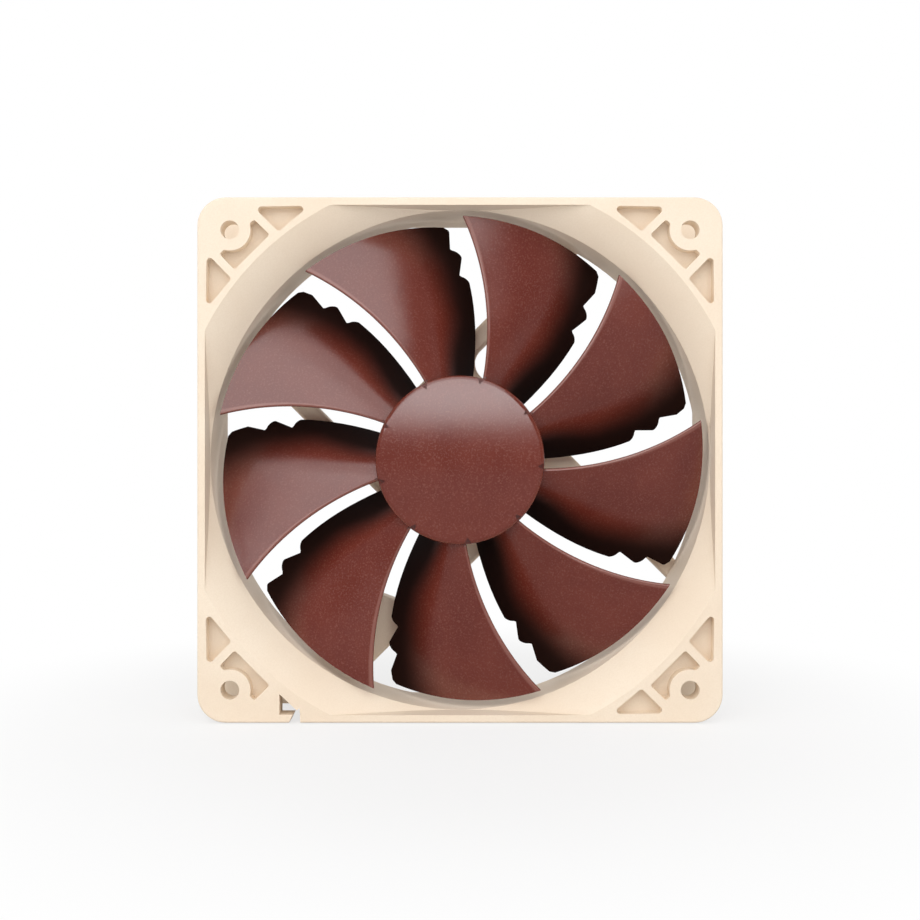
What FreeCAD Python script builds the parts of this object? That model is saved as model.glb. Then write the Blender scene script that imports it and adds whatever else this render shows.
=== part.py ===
import FreeCAD, Part
import math
import os

# A 120 mm square case fan: a moulded housing with a nine-blade impeller on a brushless motor.
# The spin axis runs along Y. Air enters at the face on -Y and leaves at the face on +Y.
# Every place along the axis is given as a depth behind the intake face, in millimetres.

Vector = FreeCAD.Vector
SPIN = Vector(0, 1, 0)
CENTRE = Vector(0, 0, 0)
TINY = 1e-3                # two lengths closer than this are taken as equal

# Housing
SIDE = 120.0               # outer width and height
DEPTH = 25.0               # intake face to exhaust face
CORNER_R = 6.5             # outer corners
EDGE_R = 0.5               # softened outer edges
FLANGE = 4.5               # thickness of the plates at both faces
BARREL_R = 58.2            # air passage
WALL = 1.8                 # barrel wall
MOUTH_R = 65.3             # bell mouth where it meets the face
MOUTH_MID_R = 61.5         # a point half way down the mouth's curve
MOUTH_MID_DEPTH = 2.5
MOUTH_DEPTH = 5.75         # where the mouth runs into the barrel
MOUTH_BACKING = 3.0        # plastic behind the mouth's rim
MIDDLE_LAP = 0.01          # the passage's two halves overlap by this at mid depth

# Screw holes and the pockets around them, given for one corner and mirrored to the others
HOLE_PITCH = 105.0
HOLE_R = 2.15
POCKET_DEPTH = 2.7
POCKET_CORNER_R = 0.8
MIDDLE_CORNER_R = 0.6      # corners of the pocket that wraps round a screw hole
HOLE_WEB_R = 4.7           # solid ring left around a screw hole
SIDE_POCKET = [(58.0, 34.3), (52.1, 41.4), (57.8, 47.2)]
MIDDLE_POCKET = [(51.4, 43.4), (54.9, 47.0), (47.0, 54.9), (43.4, 51.4)]

# Cable slot through the flanges, in the corner on -X and -Z
SLOT = [(-41.2, -53.4), (-41.2, -58.1), (-36.2, -58.1)]
SLOT_NECK = [(-37.9, -57.6), (-36.6, -56.6), (-36.4, -60.5), (-39.3, -60.5)]
SLOT_SURROUND = [(-60, -60), (-30, -60), (-30, -50), (-60, -50)]   # stays free of pockets

# Struts and motor base, at the exhaust face
STRUT_COUNT = 4
STRUT_FOOT_ANGLE = 135.0   # where the first strut's centre line passes nearest to the axis
STRUT_TANGENT_R = 17.9     # how near it passes
STRUT_WIDTH = 4.5
STRUT_DEPTH = 20.5         # front edge of the struts
STRUT_REACH = 62.0         # length from the foot to inside the rear flange
STRUT_EDGE_R = 0.8
STRUT_ROOT_R = 4.6         # rounding between a strut and the motor base
CABLE_STRUT = 2            # this strut carries the wires and is widened near its outer end
WIDE_START = 34.4          # where it starts to widen, and where it has its full width
WIDE_FULL = 38.0
WIDE_EXTRA = 7.7
CHANNEL_WIDTH = 2.6        # groove for the wires in the rear of that strut
CHANNEL_DEPTH = 2.6
CHANNEL_START = 8.0
CHANNEL_END = 52.0
CHANNEL_SPREAD = 5.0
BASE_R = 20.75
BASE_WALL = 1.4
BASE_RIM_DEPTH = 18.9      # front edge of the base's rim
BASE_FLOOR = 1.5
BOSS_R = 6.4               # collar around the bearing tube
BOSS_DEPTH = 21.6
POST_COUNT = 3             # posts under the circuit board
POST_R = 1.1
POST_CIRCLE_R = 15.5
LABEL_R = 18.6
LABEL_RECESS = 0.3
LABEL_T = 0.15
LABEL_GAP = 0.2            # from the label's edge to the edge of its recess

# Impeller
BLADES = 9
HUB_R = 19.5
HUB_FACE_DEPTH = 2.0       # rim of the hub's face
HUB_DOME = 0.8             # rise of the face's middle above its rim
HUB_SHOULDER_R = 1.0
HUB_WALL = 1.55
HUB_REAR_DEPTH = 18.0
TIP_R = 56.5
FIRST_TIP_ANGLE = 8.75     # leading-edge tip of the first blade, counter-clockwise from +X
ROOT_LEAD = -15.4          # angle of the leading edge at the hub, from its tip
LEAD_BOW = 0.14            # share of the leading edge's turn that grows with the square of span
ROOT_TRAIL = -46.95        # angle of the trailing edge at the hub, from the leading tip
TRAIL_SWING = 3.25         # how far it swings forward to the tip, evenly
TRAIL_HOOK = 8.5           # and how much more with the square of span
LEAD_DEPTH_ROOT = 3.4
LEAD_DEPTH_TIP = 4.2
TRAIL_DEPTH_ROOT = 16.4
TRAIL_DEPTH_TIP = 16.8
CURL_SHARE = 0.45          # share of the depth that comes late along the chord
CURL_POWER = 2.5
BLADE_NOSE = 0.55          # half the thickness at the leading edge
NOSE_REACH = 0.018         # chord fraction by which the round nose stands ahead
BLADE_BELLY = 0.85         # half the greatest thickness, at the root
BELLY_TAPER = 0.25         # how much thinner that is at the tip
BLADE_TAIL = 0.42          # half the thickness at the trailing edge
MID_ANGLE = -23.5          # direction of a blade's long axis, from its leading tip
SECTION_PLANES = [16.2, 22.0, 29.0, 36.0, 43.0, 50.0, 57.5]
SKIN_STEPS = 8             # steps along each skin of a section
NOTCH_R = 41.3             # inner trailing-edge notch on the blades where it lies innermost
NOTCH_GAP = 6.4            # from the inner notch to the outer one
NOTCH_STAGGER = 1.65       # the notches move out by this from blade to blade, in threes
NOTCH_DEEP = 1.75
NOTCH_SHOULDER = 2.2       # length of a notch's rounded inner side
NOTCH_RUN = 4.6            # length of its straight outer side
TIP_CORNER = 0.8           # size of the rounding between the trailing edge and the tip
CUTTER_REACH = 5.0         # how far the notch cutters stand clear of the blade
SHOULDER_NOTCH_R = 17.9    # point of the V in the hub's shoulder at each blade
SHOULDER_NOTCH_ANGLE = 7.0
SHOULDER_NOTCH_TURN = 2.1  # from the leading edge's root to the middle of the V
SHOULDER_NOTCH_DEPTH = 1.3

# Motor: the rotor's pieces
FIT = 0.02                 # gap between pieces that are pressed or glued together
YOKE_R = 17.9
YOKE_T = 1.0
YOKE_REAR_DEPTH = 16.8
MAGNET_T = 1.8
MAGNET_FRONT_DEPTH = 6.0
MAGNET_REAR_DEPTH = 16.0
ROTOR_BOSS_R = 4.0
ROTOR_BOSS_REAR_DEPTH = 7.4
SHAFT_R = 1.5
SHAFT_FRONT_DEPTH = 4.3
SHAFT_TIP_DEPTH = 22.6
SHAFT_CHAMFER = 0.2
GROOVE_R = 1.1
RING_FRONT_DEPTH = 21.6
RING_T = 0.4
RING_R = 2.4
RING_SPLIT = 0.7

# Motor: the bearing
TUBE_R = 4.3
TUBE_BORE_R = 3.0
TUBE_FRONT_DEPTH = 8.0
TUBE_REAR_DEPTH = 24.0
RUNNING_GAP = 0.03
SLEEVE_FRONT_DEPTH = 8.8
SLEEVE_REAR_DEPTH = 21.2
SEAL_T = 0.5
PAD_T = 0.6
PAD_DEPTH = 22.65
THRUST_MAGNET_R = 2.4
CAP_REAR_DEPTH = 24.7

# Motor: the stator and its board
POLES = 4
CORE_FRONT_DEPTH = 9.0
CORE_REAR_DEPTH = 14.5
CORE_RING_R = 7.0
CORE_ARM = 4.0
CORE_TIP_R = 14.55
CORE_SHOE_T = 1.4
CORE_SHOE_SPAN = 76.0
POLE_ANGLE = 20.0
INSULATOR_T = 1.5
INSULATOR_ARM = 4.7
INSULATOR_RING_R = 7.3
INSULATOR_SHOE_T = 1.0
COIL_INNER_R = 7.9
COIL_OUTER_R = 12.0
COIL_BUILD = 1.5
COIL_EDGE_R = 0.7
COIL_GAP = 0.05            # from a coil to its insulator
BOARD_R = 18.2
BOARD_FRONT_DEPTH = 19.4
BOARD_REAR_DEPTH = 20.5
BOARD_HOLE_R = 4.6
PIN_R = 0.4
PIN_CIRCLE_R = 6.1
PIN_EMBED = 1.0
PIN_PROUD = 0.5

# Components on the rear of the board: width along the radius, height across it, thickness,
# then the radius and the angle where each one sits
CAPACITOR = (1.6, 3.2, 1.6, 12.5, 120)
DIODE = (1.6, 2.8, 1.1, 12.5, 260)
RESISTOR = (0.9, 1.7, 0.6, 13.5)
RESISTOR_ANGLES = [20, 32, 44, 300]
CHIP = (5.0, 4.0, 1.5, 11.0, 200)
LEG_ROWS = 2
LEGS_PER_ROW = 4
LEG_WIDTH = 0.4
LEG_LENGTH = 0.8
LEG_T = 0.48
LEG_PITCH = 1.2
LEG_OFFSET = 2.35          # from the chip's middle to the middle of its legs
HALL_WIDTH = 1.7           # the sensor on the front of the board
HALL_HEIGHT = 4.0
HALL_R = 15.6
HALL_ANGLE = 65
HALL_GAP = 1.0             # from the magnet's edge to the sensor


def along(depth):
    """Y of a depth behind the intake face."""
    return depth - DEPTH / 2


def polar(radius, angle):
    """X and Z of a point seen from the intake side, its angle in degrees from +X towards +Z."""
    turn = math.radians(angle)
    return radius * math.cos(turn), radius * math.sin(turn)


def cylinder(radius, front, rear):
    return Part.makeCylinder(radius, rear - front, Vector(0, along(front), 0), SPIN)


def tube(outer, inner, front, rear):
    return cylinder(outer, front, rear).cut(cylinder(inner, front - 1, rear + 1))


def rod(radius, front, rear, place):
    """Cylinder parallel to the axis, at a place given as X and Z."""
    return Part.makeCylinder(radius, rear - front, Vector(place[0], along(front), place[1]), SPIN)


def block(width, height, front, rear, place, angle=0.0):
    """Box centred on a place given as X and Z, turned about the axis through its own centre."""
    box = Part.makeBox(width, rear - front, height, Vector(-width / 2, along(front), -height / 2))
    box.rotate(CENTRE, SPIN, -angle)
    box.translate(Vector(place[0], 0, place[1]))
    return box


def turned(shape, angle):
    """Copy of a shape turned about the axis, counter-clockwise seen from the intake side."""
    copy = shape.copy()
    copy.rotate(CENTRE, SPIN, -angle)
    return copy


def outline(points, depth):
    """Closed flat wire through X, Z points at one depth."""
    corners = [Vector(x, along(depth), z) for x, z in points]
    return Part.makePolygon(corners + corners[:1])


def prism(points, front, rear):
    return Part.Face(outline(points, front)).extrude(Vector(0, rear - front, 0))


def axial_edges(shape):
    """Straight edges that run parallel to the spin axis."""
    found = []
    for edge in shape.Edges:
        if isinstance(edge.Curve, Part.Line) and abs(abs(edge.Curve.Direction.y) - 1) < TINY:
            found.append(edge)
    return found


def spun(wire):
    """Solid swept by a closed wire in the X-Y plane, once round the axis."""
    return Part.Face(wire).revolve(CENTRE, SPIN, 360)


def mirrored(shape, axis):
    return shape.mirror(CENTRE, axis)


def four_corners(shape):
    """A shape in the +X +Z corner and its mirror images in the other three."""
    upper = [shape, mirrored(shape, Vector(1, 0, 0))]
    return upper + [mirrored(one, Vector(0, 0, 1)) for one in upper]


# ---- housing ----

def rounded_square(side, corner, front, rear):
    square = block(side, side, front, rear, (0, 0))
    return square.makeFillet(corner, axial_edges(square))


def envelope():
    """The housing's outer form, with its front and rear rims softened."""
    form = rounded_square(SIDE, CORNER_R, 0, DEPTH)
    rims = []
    for edge in form.Edges:
        if edge.BoundBox.YLength < TINY:
            rims.append(edge)
    return form.makeFillet(EDGE_R, rims)


def wall_form():
    """Solid of revolution that the barrel and the backs of both mouths are cut from."""
    middle = DEPTH / 2
    flare = [(0, 0), (MOUTH_R + MOUTH_BACKING, 0), (BARREL_R + WALL, MOUTH_DEPTH + WALL)]
    corners = [Vector(r, along(d), 0) for r, d in flare + [(BARREL_R + WALL, middle), (0, middle)]]
    front = spun(Part.makePolygon(corners + corners[:1]))
    return front.fuse(mirrored(front, SPIN)).removeSplitter()


def mouth_form():
    """The air passage from the intake face to mid depth: bell mouth, then barrel."""
    rim = Vector(MOUTH_R, along(0), 0)
    curve = Vector(MOUTH_MID_R, along(MOUTH_MID_DEPTH), 0)
    throat = Vector(BARREL_R, along(MOUTH_DEPTH), 0)
    inner = [Vector(BARREL_R, MIDDLE_LAP, 0), Vector(0, MIDDLE_LAP, 0), Vector(0, along(0), 0)]
    edges = [Part.Arc(rim, curve, throat).toShape()]
    stops = [throat] + inner + [rim]
    for start, end in zip(stops, stops[1:]):
        edges.append(Part.makeLine(start, end))
    return spun(Part.Wire(edges))


def air_passage():
    """Both mouths and the barrel, flattened where the housing's sides cut the mouths."""
    front = mouth_form()
    both = front.fuse(mirrored(front, SPIN))
    flats = block(2 * BARREL_R, 2 * BARREL_R, -1, DEPTH + 1, (0, 0))
    return both.common(flats)


def pocket(points):
    """Shallow triangular or four-sided pocket in the intake face, with rounded corners."""
    hollow = prism(points, -1, POCKET_DEPTH)
    return hollow.makeFillet(POCKET_CORNER_R, axial_edges(hollow))


def corner_pockets():
    """The three pockets around one screw hole."""
    side = pocket(SIDE_POCKET)
    base = pocket([(z, x) for x, z in SIDE_POCKET])
    middle = prism(MIDDLE_POCKET, -1, POCKET_DEPTH)
    hole = (HOLE_PITCH / 2, HOLE_PITCH / 2)
    middle = middle.cut(rod(HOLE_WEB_R, -2, POCKET_DEPTH + 1, hole))
    middle = middle.makeFillet(MIDDLE_CORNER_R, axial_edges(middle))
    return side, base, middle


def pocket_cutters():
    """Pockets of the intake face and their mirror images in the exhaust face."""
    side, base, middle = corner_pockets()
    surround = prism(SLOT_SURROUND, -2, POCKET_DEPTH + 1)
    cutters = four_corners(side) + four_corners(middle)
    for one in four_corners(base):
        if one.common(surround).Volume < TINY:
            cutters.append(one)
    return cutters + [mirrored(one, SPIN) for one in cutters]


def strut_frame(index):
    """Foot point, outward direction and sideways direction of one strut, as X, Z pairs."""
    angle = STRUT_FOOT_ANGLE + index * 360 / STRUT_COUNT
    foot = polar(STRUT_TANGENT_R, angle)
    outward = polar(1, angle - 90)
    sideways = polar(1, angle)
    return foot, outward, sideways


def on_strut(index, far, off):
    """Point at a distance along one strut and a distance to its outer side."""
    foot, outward, sideways = strut_frame(index)
    return tuple(foot[i] + far * outward[i] + off * sideways[i] for i in (0, 1))


def strut(index):
    """One strut, from inside the motor base to inside the rear flange."""
    half = STRUT_WIDTH / 2
    outer_side = [(0, half), (STRUT_REACH, half)]
    inner_side = [(STRUT_REACH, -half), (0, -half)]
    if index == CABLE_STRUT:
        wide = -half - WIDE_EXTRA
        inner_side = [(STRUT_REACH, wide), (WIDE_FULL, wide), (WIDE_START, -half), (0, -half)]
    points = [on_strut(index, far, off) for far, off in outer_side + inner_side]
    return prism(points, STRUT_DEPTH, DEPTH)


def softened_front(bar):
    """Rounds the long edges of the struts that face the impeller."""
    front = along(STRUT_DEPTH)
    edges = []
    for edge in bar.Edges:
        box = edge.BoundBox
        straight = isinstance(edge.Curve, Part.Line)
        at_front = box.YLength < TINY and abs(box.YMax - front) < TINY
        if straight and at_front and edge.Length > STRUT_WIDTH / 2:
            edges.append(edge)
    return bar.makeFillet(STRUT_EDGE_R, edges)


def spider():
    """The struts and the disc between them, with the corners between them rounded."""
    disc = cylinder(BASE_R, STRUT_DEPTH, DEPTH)
    shape = disc.fuse([strut(index) for index in range(STRUT_COUNT)]).removeSplitter()
    corners = []
    for edge in axial_edges(shape):
        place = edge.Vertexes[0].Point
        if math.hypot(place.x, place.z) < BASE_R + TINY:
            corners.append(edge)
    shape = softened_front(shape.makeFillet(STRUT_ROOT_R, corners))
    rim = cylinder(MOUTH_R + MOUTH_BACKING, 0, DEPTH)
    return shape.common(envelope().common(rim))


def wire_channel():
    """Groove in the rear of the wide strut, from the motor base out to the cable slot."""
    half = CHANNEL_WIDTH / 2
    sides = [(CHANNEL_START, half), (CHANNEL_END, half), (CHANNEL_END, -half - CHANNEL_SPREAD)]
    sides += [(WIDE_FULL, -half - CHANNEL_SPREAD), (WIDE_START, -half), (CHANNEL_START, -half)]
    points = [on_strut(CABLE_STRUT, far, off) for far, off in sides]
    return prism(points, DEPTH - CHANNEL_DEPTH, DEPTH + 1)


def motor_base():
    """Cup that holds the stator, with a collar for the bearing tube and posts for the board."""
    cup = cylinder(BASE_R, BASE_RIM_DEPTH, DEPTH)
    cup = cup.cut(cylinder(BASE_R - BASE_WALL, BASE_RIM_DEPTH - 1, DEPTH - BASE_FLOOR))
    solids = [cylinder(BOSS_R, BOSS_DEPTH, DEPTH)]
    for index in range(POST_COUNT):
        place = polar(POST_CIRCLE_R, 90 + index * 360 / POST_COUNT)
        solids.append(rod(POST_R, BOARD_REAR_DEPTH + FIT, DEPTH - BASE_FLOOR / 2, place))
    return cup.fuse(solids)


def housing():
    plates = rounded_square(SIDE, CORNER_R, 0, FLANGE)
    plates = [plates, mirrored(plates, SPIN)]
    body = wall_form().fuse(plates).common(envelope())
    body = body.cut(air_passage())
    pan = cylinder(BASE_R - BASE_WALL, 0, DEPTH - BASE_FLOOR)
    body = body.fuse([spider().cut(pan), motor_base()])
    cutters = pocket_cutters()
    for place in ((1, 1), (-1, 1), (1, -1), (-1, -1)):
        hole = (place[0] * HOLE_PITCH / 2, place[1] * HOLE_PITCH / 2)
        cutters.append(rod(HOLE_R, -1, DEPTH + 1, hole))
    cutters.append(prism(SLOT, -1, DEPTH + 1))
    cutters.append(prism(SLOT_NECK, -1, DEPTH + 1))
    cutters.append(wire_channel())
    cutters.append(cylinder(LABEL_R, DEPTH - LABEL_RECESS, DEPTH + 1))
    cutters.append(cylinder(TUBE_R + FIT, BOSS_DEPTH - 1, DEPTH + 1))
    return body.cut(cutters).removeSplitter()


# ---- impeller ----

def span(radius):
    """How far a radius lies from the hub (0) to the blade tips (1)."""
    return (radius - HUB_R) / (TIP_R - HUB_R)


def lead_angle(radius):
    """Angle of the leading edge from its own tip: nearly straight, a little flatter at the hub."""
    part = span(radius)
    return ROOT_LEAD * (1 - (1 - LEAD_BOW) * part - LEAD_BOW * part * part)


def trail_angle(radius):
    """Angle of the trailing edge from the leading tip: it swings forward more and more outwards."""
    part = span(radius)
    return ROOT_TRAIL + TRAIL_SWING * part + TRAIL_HOOK * part * part


def chord_angle(radius, chord):
    """Angle of a point on a blade, chord 0 at the leading edge and 1 at the trailing edge."""
    return lead_angle(radius) + (trail_angle(radius) - lead_angle(radius)) * chord


def chord_depth(radius, chord):
    """Depth of the same point: the blade starts shallow and curls towards the axis direction."""
    part = span(radius)
    front = LEAD_DEPTH_ROOT + (LEAD_DEPTH_TIP - LEAD_DEPTH_ROOT) * part
    rear = TRAIL_DEPTH_ROOT + (TRAIL_DEPTH_TIP - TRAIL_DEPTH_ROOT) * part
    curl = (1 - CURL_SHARE) * chord + CURL_SHARE * max(chord, 0) ** CURL_POWER
    return front + (rear - front) * curl


def mean_point(plane, chord):
    """Where the blade's mean surface, at one chord fraction, crosses a flat section plane.

    The plane stands square to the blade's long axis. The point's radius depends on how far
    it lies across the plane, so the pair is settled by repetition."""
    radius = plane
    for _ in range(20):
        across = plane * math.tan(math.radians(chord_angle(radius, chord) - MID_ANGLE))
        radius = math.hypot(plane, across)
    return across, along(chord_depth(radius, chord))


def half_thickness(plane, chord):
    """Half the blade's thickness: thickest a little ahead of mid chord."""
    belly = BLADE_BELLY - BELLY_TAPER * span(plane)
    swell = math.sin(math.pi * min(1, chord * 1.1 + 0.12)) ** 2
    ends = BLADE_NOSE + (BLADE_TAIL - BLADE_NOSE) * chord
    return ends + max(0, belly - ends) * swell


def skin_point(plane, chord, side):
    """Point on one skin of the blade in a section plane, side being +1 or -1."""
    step = 0.002
    before = mean_point(plane, chord - step)
    after = mean_point(plane, chord + step)
    here = mean_point(plane, chord)
    slope = (after[0] - before[0], after[1] - before[1])
    length = math.hypot(slope[0], slope[1])
    offset = side * half_thickness(plane, chord) / length
    return Vector(plane, here[1] + offset * slope[0], here[0] - offset * slope[1])


def blade_section(plane):
    """Closed wire of one blade section: two curved skins, a round nose and a blunt tail."""
    chords = [index / SKIN_STEPS for index in range(SKIN_STEPS + 1)]
    upper = [skin_point(plane, chord, 1) for chord in chords]
    lower = [skin_point(plane, chord, -1) for chord in chords]
    ahead = mean_point(plane, -NOSE_REACH)
    nose_tip = Vector(plane, ahead[1], ahead[0])
    skins = []
    for points in (upper, lower):
        curve = Part.BSplineCurve()
        curve.interpolate(points)
        skins.append(curve)
    nose = Part.Arc(lower[0], nose_tip, upper[0])
    tail = Part.makeLine(upper[-1], lower[-1])
    return Part.Wire([nose.toShape(), skins[0].toShape(), tail, skins[1].toShape()])


def bare_blade():
    """One blade without notches, its leading tip at angle 0, trimmed to the hub and tip circle."""
    loft = Part.makeLoft([blade_section(plane) for plane in SECTION_PLANES], True)
    loft.rotate(CENTRE, SPIN, -MID_ANGLE)
    return loft.common(tube(TIP_R, HUB_R - HUB_WALL / 2, 0, DEPTH))


def beside_tail(radius, inward):
    """Point at a distance inward from the trailing edge, at one radius."""
    return polar(radius, trail_angle(radius) + math.degrees(inward / radius))


def flat_point(place, depth):
    return Vector(place[0], along(depth), place[1])


def tail_cutter(arc, rest):
    """Cutter that takes a bite out of the trailing edge: an arc, then straight edges."""
    start, middle, end = [flat_point(beside_tail(*one), 0) for one in arc]
    stops = [end] + [flat_point(beside_tail(*one), 0) for one in rest] + [start]
    edges = [Part.Arc(start, middle, end).toShape()]
    for first, second in zip(stops, stops[1:]):
        edges.append(Part.makeLine(first, second))
    return Part.Face(Part.Wire(edges)).extrude(Vector(0, DEPTH, 0))


def tail_notch(radius):
    """A nibble with a rounded inner shoulder, a sharp bottom and a long straight way back."""
    start = radius - NOTCH_SHOULDER
    end = radius + NOTCH_RUN
    shoulder = [(start, -0.4), (start + 1.3, 0.1), (radius - 0.3, NOTCH_DEEP - 0.4)]
    rest = [(radius, NOTCH_DEEP), (end, -0.35), (end, -CUTTER_REACH), (start, -CUTTER_REACH)]
    return tail_cutter(shoulder, rest)


def tip_corner():
    """Takes the corner off between the trailing edge and the tip circle."""
    start = TIP_R - TIP_CORNER
    end = TIP_R + CUTTER_REACH
    corner = [(start, -0.4), (TIP_R - 0.4 * TIP_CORNER, 0.2 * TIP_CORNER), (TIP_R + 0.2, TIP_CORNER)]
    rest = [(end, TIP_CORNER), (end, -CUTTER_REACH), (start, -CUTTER_REACH)]
    return tail_cutter(corner, rest)


def blade(stagger):
    inner = NOTCH_R + stagger * NOTCH_STAGGER
    cutters = [tail_notch(inner), tail_notch(inner + NOTCH_GAP), tip_corner()]
    return bare_blade().cut(cutters)


def hub_cup():
    """The cup that covers the motor, with a slightly domed face."""
    crown = HUB_FACE_DEPTH - HUB_DOME
    dome_r = (HUB_R * HUB_R + HUB_DOME * HUB_DOME) / (2 * HUB_DOME)
    cup = cylinder(HUB_R, crown, HUB_REAR_DEPTH)
    cup = cup.common(Part.makeSphere(dome_r, Vector(0, along(crown) + dome_r, 0)))
    rim = [edge for edge in cup.Edges if abs(edge.BoundBox.YMax - along(HUB_FACE_DEPTH)) < TINY]
    cup = cup.makeFillet(HUB_SHOULDER_R, rim)
    return cup.cut(cylinder(HUB_R - HUB_WALL, HUB_FACE_DEPTH + HUB_WALL, DEPTH))


def shoulder_notch():
    """Small V cut into the hub's shoulder where a leading edge starts, for a tip at angle 0."""
    half = SHOULDER_NOTCH_ANGLE / 2
    angle = ROOT_LEAD + SHOULDER_NOTCH_TURN
    outer = HUB_R + BLADE_NOSE
    points = [polar(SHOULDER_NOTCH_R, angle), polar(outer, angle - half), polar(outer, angle + half)]
    return prism(points, 0, HUB_FACE_DEPTH + SHOULDER_NOTCH_DEPTH)


def impeller():
    kinds = [blade(2), blade(1), blade(0)]
    blades = []
    notches = []
    for index in range(BLADES):
        angle = FIRST_TIP_ANGLE + index * 360 / BLADES
        blades.append(turned(kinds[index % 3], angle))
        notches.append(turned(shoulder_notch(), angle))
    return hub_cup().fuse(blades).cut(notches)


# ---- rotor ----

def rotor_yoke():
    inside = HUB_FACE_DEPTH + HUB_WALL + FIT
    cup = cylinder(YOKE_R, inside, YOKE_REAR_DEPTH)
    cup = cup.cut(cylinder(YOKE_R - YOKE_T, inside + YOKE_T, DEPTH))
    return cup.cut(cylinder(ROTOR_BOSS_R + FIT, 0, DEPTH))


def ring_magnet():
    outer = YOKE_R - YOKE_T - FIT
    return tube(outer, outer - MAGNET_T, MAGNET_FRONT_DEPTH, MAGNET_REAR_DEPTH)


def shaft_boss():
    front = HUB_FACE_DEPTH + HUB_WALL + FIT
    plug = cylinder(ROTOR_BOSS_R, front, ROTOR_BOSS_REAR_DEPTH)
    return plug.cut(cylinder(SHAFT_R + FIT, SHAFT_FRONT_DEPTH - FIT, DEPTH))


def shaft():
    rod_form = cylinder(SHAFT_R, SHAFT_FRONT_DEPTH, SHAFT_TIP_DEPTH)
    ends = [edge for edge in rod_form.Edges if edge.BoundBox.YLength < TINY]
    rod_form = rod_form.makeChamfer(SHAFT_CHAMFER, ends)
    groove = tube(SHAFT_R + 1, GROOVE_R, RING_FRONT_DEPTH - FIT, RING_FRONT_DEPTH + RING_T + FIT)
    return rod_form.cut(groove)


def retaining_ring():
    """Split washer in the shaft's groove, which keeps the rotor in its bearing."""
    ring = tube(RING_R, GROOVE_R + FIT, RING_FRONT_DEPTH, RING_FRONT_DEPTH + RING_T)
    return ring.cut(block(RING_R, RING_SPLIT, 0, DEPTH, (GROOVE_R + RING_R / 2, 0)))


# ---- bearing ----

def bearing_tube():
    return tube(TUBE_R, TUBE_BORE_R, TUBE_FRONT_DEPTH, TUBE_REAR_DEPTH)


def sleeve_bearing():
    bore = SHAFT_R + RUNNING_GAP
    return tube(TUBE_BORE_R - FIT, bore, SLEEVE_FRONT_DEPTH, SLEEVE_REAR_DEPTH)


def oil_seal():
    front = SLEEVE_FRONT_DEPTH - SEAL_T - FIT
    return tube(TUBE_BORE_R - FIT, SHAFT_R + 2 * RUNNING_GAP, front, front + SEAL_T)


def thrust_pad():
    return cylinder(TUBE_BORE_R - FIT, PAD_DEPTH, PAD_DEPTH + PAD_T)


def thrust_magnet():
    return cylinder(THRUST_MAGNET_R, PAD_DEPTH + PAD_T + FIT, TUBE_REAR_DEPTH - FIT)


def bearing_cap():
    return cylinder(TUBE_R - FIT, TUBE_REAR_DEPTH, CAP_REAR_DEPTH - FIT)


def rear_label():
    """Blank foil disc in the recess of the motor base."""
    front = DEPTH - LABEL_RECESS
    return cylinder(LABEL_R - LABEL_GAP, front, front + LABEL_T)


# ---- stator and board ----

def pole_plan(ring_r, arm, tip_r, shoe, front, rear):
    """Ring with four arms, each ending in a curved shoe."""
    shape = tube(ring_r, TUBE_R + FIT, front, rear)
    shoes = tube(tip_r, tip_r - shoe, front, rear)
    solids = []
    for index in range(POLES):
        angle = POLE_ANGLE + index * 360 / POLES
        arm_length = tip_r - shoe / 2 - TUBE_R - 1
        place = polar(TUBE_R + 1 + arm_length / 2, angle)
        solids.append(block(arm_length, arm, front, rear, place, angle))
        half = CORE_SHOE_SPAN / 2
        wedge = [(0, 0)] + [polar(tip_r * 2, angle - half), polar(tip_r * 2, angle + half)]
        solids.append(shoes.common(prism(wedge, front - 1, rear + 1)))
    return shape.fuse(solids).removeSplitter()


def stator_core():
    return pole_plan(CORE_RING_R, CORE_ARM, CORE_TIP_R, CORE_SHOE_T, CORE_FRONT_DEPTH, CORE_REAR_DEPTH)


def insulator(front, rear):
    """Moulded end plate that keeps the windings off the core."""
    tip = CORE_TIP_R - CORE_SHOE_T / 2
    return pole_plan(INSULATOR_RING_R, INSULATOR_ARM, tip, INSULATOR_SHOE_T, front, rear)


def front_insulator():
    rear = CORE_FRONT_DEPTH - FIT
    return insulator(rear - INSULATOR_T, rear)


def pin_places():
    places = []
    for index in range(POLES):
        places.append(polar(PIN_CIRCLE_R, POLE_ANGLE + 45 + index * 360 / POLES))
    return places


def rear_insulator():
    front = CORE_REAR_DEPTH + FIT
    holes = []
    for place in pin_places():
        holes.append(rod(PIN_R + FIT, front + INSULATOR_T - PIN_EMBED - FIT, DEPTH, place))
    return insulator(front, front + INSULATOR_T).cut(holes)


def winding_pins():
    """Posts that join the coil ends to the board."""
    front = CORE_REAR_DEPTH + FIT + INSULATOR_T - PIN_EMBED
    pins = [rod(PIN_R, front, BOARD_REAR_DEPTH + PIN_PROUD, place) for place in pin_places()]
    return Part.makeCompound(pins)


def coil(index):
    """Winding around one stator arm, with rounded outer edges."""
    inner_front = CORE_FRONT_DEPTH - INSULATOR_T - FIT - COIL_GAP
    inner_rear = CORE_REAR_DEPTH + INSULATOR_T + FIT + COIL_GAP
    width = INSULATOR_ARM + 2 * COIL_GAP
    length = COIL_OUTER_R - COIL_INNER_R
    place = ((COIL_INNER_R + COIL_OUTER_R) / 2, 0)
    front = inner_front - COIL_BUILD
    whole = block(length, width + 2 * COIL_BUILD, front, inner_rear + COIL_BUILD, place)
    whole = whole.makeFillet(COIL_EDGE_R, whole.Edges)
    hollow = block(length + 1, width, inner_front, inner_rear, place)
    return turned(whole.cut(hollow), POLE_ANGLE + index * 360 / POLES)


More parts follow.
